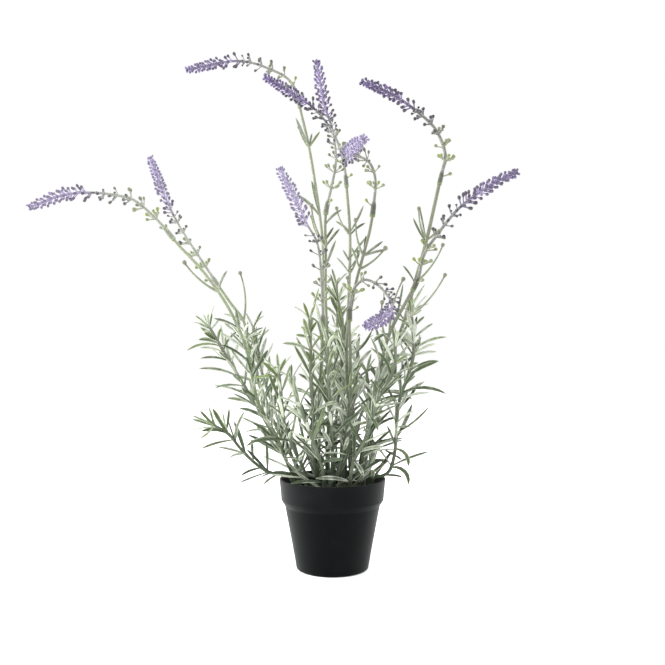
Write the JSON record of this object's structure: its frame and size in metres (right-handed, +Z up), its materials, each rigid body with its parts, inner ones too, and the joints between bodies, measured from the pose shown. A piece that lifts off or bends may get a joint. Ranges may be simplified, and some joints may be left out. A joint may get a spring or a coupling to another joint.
{
  "type": "potted lavender",
  "caption": "Moulded plastic lavender in a plain black pot: curving leafy stems and shoots, with spikes of green buds and violet florets.",
  "frame": {"origin": "middle of the pot's flat underside", "axes": "+Z up along the pot's axis, +X to the right and +Y to the back as the plant is seen from its front"},
  "size_m": [0.4159, 0.2821, 0.4955],
  "materials": {
    "pot_plastic": "satin",
    "potting_fill": "matte",
    "foliage": "matte",
    "buds": "matte",
    "florets": "matte"
  },
  "bodies": {
    "root": {"pot": "pot_plastic", "potting_fill": "potting_fill", "far_left_flower_stem": "foliage", "far_left_bud_spray": "buds", "far_left_flower_head": "florets", "left_upright_flower_stem": "foliage", "left_upright_bud_spray": "buds", "left_upright_flower_head": "florets", "top_left_flower_stem": "foliage", "top_left_bud_spray": "buds", "top_left_flower_head": "florets", "top_middle_flower_stem": "foliage", "top_middle_bud_spray": "buds", "top_middle_flower_head": "florets", "upright_flower_stem": "foliage", "upright_bud_spray": "buds", "upright_flower_head": "florets", "curled_flower_stem": "foliage", "curled_bud_spray": "buds", "curled_flower_head": "florets", "middle_left_flower_stem": "foliage", "middle_left_bud_spray": "buds", "middle_left_flower_head": "florets", "top_right_flower_stem": "foliage", "top_right_bud_spray": "buds", "top_right_flower_head": "florets", "right_flower_stem": "foliage", "right_bud_spray": "buds", "right_flower_head": "florets", "drooping_flower_stem": "foliage", "drooping_bud_spray": "buds", "drooping_flower_head": "florets", "low_left_leafy_shoot": "foliage", "left_leafy_shoot": "foliage", "left_back_leafy_shoot": "foliage", "left_inner_leafy_shoot": "foliage", "inner_left_leafy_shoot": "foliage", "middle_back_leafy_shoot": "foliage", "middle_front_leafy_shoot": "foliage", "middle_leafy_shoot": "foliage", "inner_right_leafy_shoot": "foliage", "low_right_leafy_shoot": "foliage", "right_arch_leafy_shoot": "foliage", "right_middle_leafy_shoot": "foliage", "right_short_leafy_shoot": "foliage", "right_back_leafy_shoot": "foliage", "back_left_leafy_shoot": "foliage", "back_right_leafy_shoot": "foliage", "front_right_leafy_shoot": "foliage", "front_left_leafy_shoot": "foliage"}
  },
  "joints": []
}
